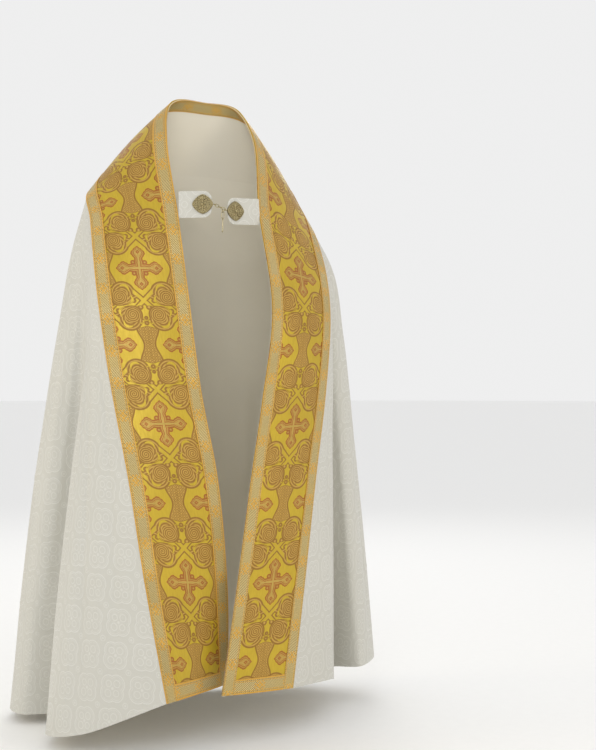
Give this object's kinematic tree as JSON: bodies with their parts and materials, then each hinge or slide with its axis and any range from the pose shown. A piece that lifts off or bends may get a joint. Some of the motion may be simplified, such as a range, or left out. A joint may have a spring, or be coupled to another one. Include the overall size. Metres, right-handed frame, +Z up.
{
  "type": "cope vestment",
  "caption": "Open liturgical cloak in ivory damask with gold brocade front bands, a fringed shield hood on the back and a chained metal clasp at the chest.",
  "frame": {"origin": "middle of the neck at the height of the shoulders, where a wearer holds it up", "axes": "+Z up, +X to the wearer's left, the wearer faces -Y"},
  "size_m": [0.9586, 0.6034, 1.5178],
  "materials": {
    "damask": "satin",
    "lining": "satin",
    "brocade": "satin",
    "galloon": "satin",
    "lame": "satin",
    "fringe": "satin",
    "brass": "satin"
  },
  "bodies": {
    "cope": {"body_right": "damask", "body_left": "damask", "lining_body_right": "lining", "lining_body_left": "lining", "orphrey_right": "brocade", "orphrey_left": "brocade", "lining_orphrey_right": "lining", "lining_orphrey_left": "lining", "galloon_inner_right": "galloon", "galloon_inner_left": "galloon", "galloon_outer_right": "galloon", "galloon_outer_left": "galloon", "galloon_bottom_right": "galloon", "galloon_bottom_left": "galloon", "galloon_back": "galloon", "neck_galloon": "galloon", "hood": "lame", "hood_top_galloon": "galloon", "hood_edge_galloon": "galloon", "hood_fringe": "fringe", "morse_tab_right": "damask", "morse_tab_left": "damask", "clasp_right": "brass", "clasp_left": "brass", "clasp_ring_right": "brass", "clasp_ring_left": "brass", "chain_link_1": "brass", "chain_link_2": "brass", "chain_link_3": "brass"},
    "ring": {"tail_ring": "brass"},
    "link": {"tail_link": "brass"},
    "pin": {"tail_pin": "brass"}
  },
  "joints": [
    {"name": "tail_ring_swing", "type": "hinge", "parent": "cope", "child": "ring", "pos_m": [-0.02502, -0.16367, -0.16826], "axis": [0.9958, 0.0916, 0], "range_deg": [-35, 35]},
    {"name": "tail_link_swing", "type": "hinge", "parent": "ring", "child": "link", "pos_m": [-0.02502, -0.16367, -0.17386], "axis": [0.0916, -0.9958, 0], "range_deg": [-18, 18]},
    {"name": "tail_pin_swing", "type": "hinge", "parent": "link", "child": "pin", "pos_m": [-0.02502, -0.16367, -0.18786], "axis": [0.9958, 0.0916, 0], "range_deg": [-30, 30]}
  ]
}
